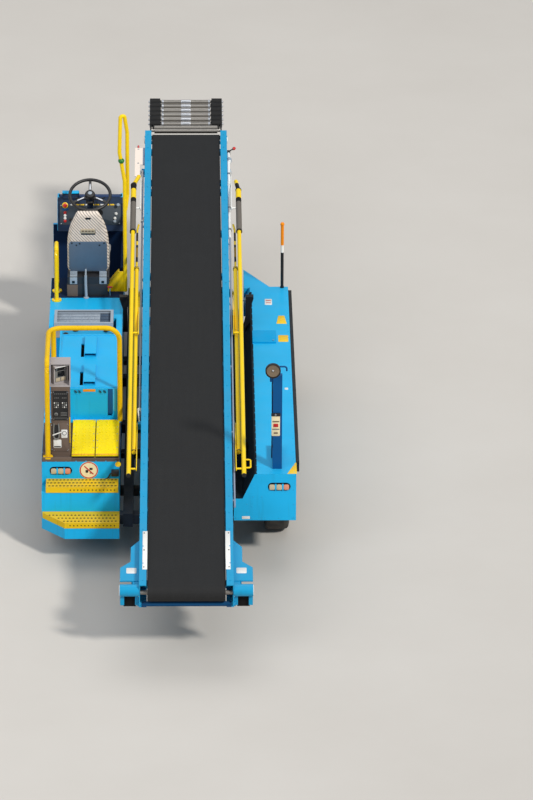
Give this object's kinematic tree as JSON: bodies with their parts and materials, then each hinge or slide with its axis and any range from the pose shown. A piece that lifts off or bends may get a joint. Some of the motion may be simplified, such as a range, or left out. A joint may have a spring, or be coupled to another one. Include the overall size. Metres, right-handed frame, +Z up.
{
  "type": "baggage belt loader",
  "caption": "Self-propelled airport belt loader: side bodies with driver's seat and rear platform, lifting tilting conveyor with folding handrails and roller nose.",
  "frame": {"origin": "on the ground below the middle of the whole machine", "axes": "+Y forward, the way it drives up to the aircraft, +X to its right, +Z up"},
  "size_m": [2.1, 8.6746, 2.4449],
  "materials": {
    "blue_paint": "gloss",
    "dark_paint": "satin",
    "yellow_paint": "gloss",
    "black_steel": "satin",
    "belt_rubber": "matte",
    "tyre_rubber": "matte",
    "strip_rubber": "matte",
    "rim_paint": "gloss",
    "seat_cloth": "woven",
    "seat_plastic": "matte",
    "zinc_steel": "zinc plated",
    "roller_steel": "worn",
    "rod_chrome": "polished",
    "console_paint": "satin",
    "dash_plastic": "matte",
    "black_plastic": "matte",
    "lamp_plastic": "clear cover",
    "grille_metal": "satin"
  },
  "bodies": {
    "chassis": {"chassis_frame": "dark_paint", "left_body": "blue_paint", "right_body": "blue_paint", "vent_grille": "grille_metal", "platform_plate": "yellow_paint", "rear_steps": "yellow_paint", "guard_rail": "yellow_paint", "control_console": "console_paint", "screen_box": "grille_metal", "dash": "dash_plastic", "seat_base": "seat_plastic", "seat_cushion": "seat_cloth", "seat_back": "seat_cloth", "grab_rails": "yellow_paint", "lamp_post": "dark_paint", "work_lamp": "black_plastic", "marker_mast": "yellow_paint", "body_lamps": "lamp_plastic", "side_strip": "strip_rubber", "power_pack": "black_steel", "boom_guides": "black_steel", "front_axle": "black_steel", "rear_axle": "black_steel"},
    "hood": {"left_hood": "blue_paint"},
    "hatch": {"right_hatch": "blue_paint"},
    "steering": {"steering_wheel": "black_plastic"},
    "knuckle_l": {"knuckle_left": "zinc_steel"},
    "knuckle_r": {"knuckle_right": "zinc_steel"},
    "wheel_fl": {"rim_fl": "rim_paint", "tyre_fl": "tyre_rubber"},
    "wheel_fr": {"rim_fr": "rim_paint", "tyre_fr": "tyre_rubber"},
    "wheel_rl": {"rim_rl": "rim_paint", "tyre_rl": "tyre_rubber"},
    "wheel_rr": {"rim_rr": "rim_paint", "tyre_rr": "tyre_rubber"},
    "arm": {"lift_arm": "dark_paint"},
    "link": {"lift_link": "dark_paint"},
    "carrier": {"boom_carrier": "dark_paint"},
    "barrels": {"lift_barrels": "black_steel"},
    "rods": {"lift_rods": "rod_chrome"},
    "tilt_cylinder": {"tilt_barrel": "black_steel"},
    "tilt_piston": {"tilt_rod": "rod_chrome"},
    "boom": {"boom_frame": "blue_paint", "belt": "belt_rubber", "belt_rollers": "roller_steel", "boom_fittings": "zinc_steel", "head_fittings": "black_steel"},
    "nose": {"nose_frame": "black_steel", "nose_rollers": "roller_steel"},
    "post_left_1_body": {"post_left_1": "yellow_paint"},
    "post_left_2_body": {"post_left_2": "yellow_paint"},
    "post_left_3_body": {"post_left_3": "yellow_paint"},
    "rail_left_body": {"rail_left": "yellow_paint"},
    "mid_rail_left_body": {"mid_rail_left": "yellow_paint"},
    "post_right_1_body": {"post_right_1": "yellow_paint"},
    "post_right_2_body": {"post_right_2": "yellow_paint"},
    "post_right_3_body": {"post_right_3": "yellow_paint"},
    "rail_right_body": {"rail_right": "yellow_paint"},
    "mid_rail_right_body": {"mid_rail_right": "yellow_paint"}
  },
  "joints": [
    {"name": "hood_open", "type": "hinge", "parent": "chassis", "child": "hood", "pos_m": [-0.015, -0.28261, 1.025], "axis": [-1, 0, 0], "range_deg": [0, 60]},
    {"name": "hatch_open", "type": "hinge", "parent": "chassis", "child": "hatch", "pos_m": [-0.015, 0.29239, 0.822], "axis": [-1, 0, 0], "range_deg": [0, 95]},
    {"name": "steering_turn", "type": "hinge", "parent": "chassis", "child": "steering", "pos_m": [-0.7155, 1.96939, 1.39], "axis": [0, -0.4478, 0.8942], "range_deg": [-450, 450]},
    {"name": "steer_l", "type": "hinge", "parent": "chassis", "child": "knuckle_l", "pos_m": [-0.715, 1.00439, 0.32], "axis": [0, 0, 1], "range_deg": [-30, 30]},
    {"name": "steer_r", "type": "hinge", "parent": "chassis", "child": "knuckle_r", "pos_m": [0.685, 1.00439, 0.32], "axis": [0, 0, 1], "range_deg": [-30, 30]},
    {"name": "spin_fl", "type": "hinge", "parent": "knuckle_l", "child": "wheel_fl", "pos_m": [-0.905, 1.00439, 0.32], "axis": [1, 0, 0], "continuous": true},
    {"name": "spin_rl", "type": "hinge", "parent": "chassis", "child": "wheel_rl", "pos_m": [-0.905, -1.81561, 0.32], "axis": [1, 0, 0], "continuous": true},
    {"name": "spin_fr", "type": "hinge", "parent": "knuckle_r", "child": "wheel_fr", "pos_m": [0.875, 1.00439, 0.32], "axis": [1, 0, 0], "continuous": true},
    {"name": "spin_rr", "type": "hinge", "parent": "chassis", "child": "wheel_rr", "pos_m": [0.875, -1.81561, 0.32], "axis": [1, 0, 0], "continuous": true},
    {"name": "arm_raise", "type": "hinge", "parent": "chassis", "child": "arm", "pos_m": [0.13, -0.80561, 0.5], "axis": [-1, 0, 0], "range_deg": [0, 28]},
    {"name": "link_raise", "type": "hinge", "parent": "chassis", "child": "link", "pos_m": [0.13, -0.80561, 0.37], "axis": [-1, 0, 0], "range_deg": [0, 29]},
    {"name": "carrier_level", "type": "hinge", "parent": "arm", "child": "carrier", "pos_m": [0.13, -2.08273, 0.64534], "axis": [1, 0, 0], "range_deg": [0, 29]},
    {"name": "boom_tilt", "type": "hinge", "parent": "carrier", "child": "boom", "pos_m": [0.13, -2.08273, 0.64534], "axis": [1, 0, 0], "range_deg": [-3, 12]},
    {"name": "nose_fold", "type": "hinge", "parent": "boom", "child": "nose", "pos_m": [0.13, 3.77106, 1.30694], "axis": [-1, 0, 0], "range_deg": [0, 85]},
    {"name": "lift_barrel_turn", "type": "hinge", "parent": "chassis", "child": "barrels", "pos_m": [0.13, -1.25561, 0.29], "axis": [-1, 0, 0], "range_deg": [-1, 26.8]},
    {"name": "lift_stroke", "type": "slide", "parent": "barrels", "child": "rods", "axis": [0, -0.5549, 0.8319], "range_m": [-0.002, 0.2437]},
    {"name": "tilt_barrel_turn", "type": "hinge", "parent": "carrier", "child": "tilt_cylinder", "pos_m": [0.13, -1.56273, 0.34534], "axis": [1, 0, 0], "range_deg": [-4.8, 16.19]},
    {"name": "tilt_stroke", "type": "slide", "parent": "tilt_cylinder", "child": "tilt_piston", "axis": [0, 0.8731, 0.4876], "range_m": [-0.0328, 0.1194]},
    {"name": "rail_left_raise", "type": "hinge", "parent": "boom", "child": "post_left_1_body", "pos_m": [-0.2735, -1.64661, 0.83593], "axis": [-1, 0, 0], "range_deg": [0, 74]},
    {"name": "post_left_2_raise", "type": "hinge", "parent": "boom", "child": "post_left_2_body", "pos_m": [-0.2735, 0.64598, 1.02039], "axis": [-1, 0, 0], "range_deg": [0, 74.5]},
    {"name": "post_left_3_raise", "type": "hinge", "parent": "boom", "child": "post_left_3_body", "pos_m": [-0.2735, 2.93857, 1.20485], "axis": [-1, 0, 0], "range_deg": [0, 74.5]},
    {"name": "rail_left_level", "type": "hinge", "parent": "post_left_1_body", "child": "rail_left_body", "pos_m": [-0.27, -2.54612, 0.86577], "axis": [1, 0, 0], "range_deg": [0, 74.5]},
    {"name": "mid_rail_left_level", "type": "hinge", "parent": "post_left_1_body", "child": "mid_rail_left_body", "pos_m": [-0.27, -2.09637, 0.85085], "axis": [1, 0, 0], "range_deg": [0, 74.5]},
    {"name": "rail_right_raise", "type": "hinge", "parent": "boom", "child": "post_right_1_body", "pos_m": [0.5335, -1.64661, 0.83593], "axis": [-1, 0, 0], "range_deg": [0, 74]},
    {"name": "post_right_2_raise", "type": "hinge", "parent": "boom", "child": "post_right_2_body", "pos_m": [0.5335, 0.64598, 1.02039], "axis": [-1, 0, 0], "range_deg": [0, 74.5]},
    {"name": "post_right_3_raise", "type": "hinge", "parent": "boom", "child": "post_right_3_body", "pos_m": [0.5335, 2.93857, 1.20485], "axis": [-1, 0, 0], "range_deg": [0, 74.5]},
    {"name": "rail_right_level", "type": "hinge", "parent": "post_right_1_body", "child": "rail_right_body", "pos_m": [0.53, -2.54612, 0.86577], "axis": [1, 0, 0], "range_deg": [0, 74.5]},
    {"name": "mid_rail_right_level", "type": "hinge", "parent": "post_right_1_body", "child": "mid_rail_right_body", "pos_m": [0.53, -2.09637, 0.85085], "axis": [1, 0, 0], "range_deg": [0, 74.5]}
  ],
  "couplings": [
    {"joint": "steer_l", "follows": "steering_turn", "ratio": 0.066667},
    {"joint": "steer_r", "follows": "steering_turn", "ratio": 0.066667},
    {"joint": "link_raise", "follows": "arm_raise", "ratio": 1},
    {"joint": "carrier_level", "follows": "arm_raise", "ratio": 1},
    {"joint": "lift_barrel_turn", "follows": "arm_raise", "ratio": 0.92144},
    {"joint": "lift_stroke", "follows": "arm_raise", "m_per_rad": 0.49042},
    {"joint": "tilt_barrel_turn", "follows": "boom_tilt", "ratio": 1.2661},
    {"joint": "tilt_stroke", "follows": "boom_tilt", "m_per_rad": 0.55083},
    {"joint": "post_left_2_raise", "follows": "rail_left_raise", "ratio": 1},
    {"joint": "post_left_3_raise", "follows": "rail_left_raise", "ratio": 1},
    {"joint": "rail_left_level", "follows": "rail_left_raise", "ratio": 1},
    {"joint": "mid_rail_left_level", "follows": "rail_left_raise", "ratio": 1},
    {"joint": "post_right_2_raise", "follows": "rail_right_raise", "ratio": 1},
    {"joint": "post_right_3_raise", "follows": "rail_right_raise", "ratio": 1},
    {"joint": "rail_right_level", "follows": "rail_right_raise", "ratio": 1},
    {"joint": "mid_rail_right_level", "follows": "rail_right_raise", "ratio": 1}
  ]
}
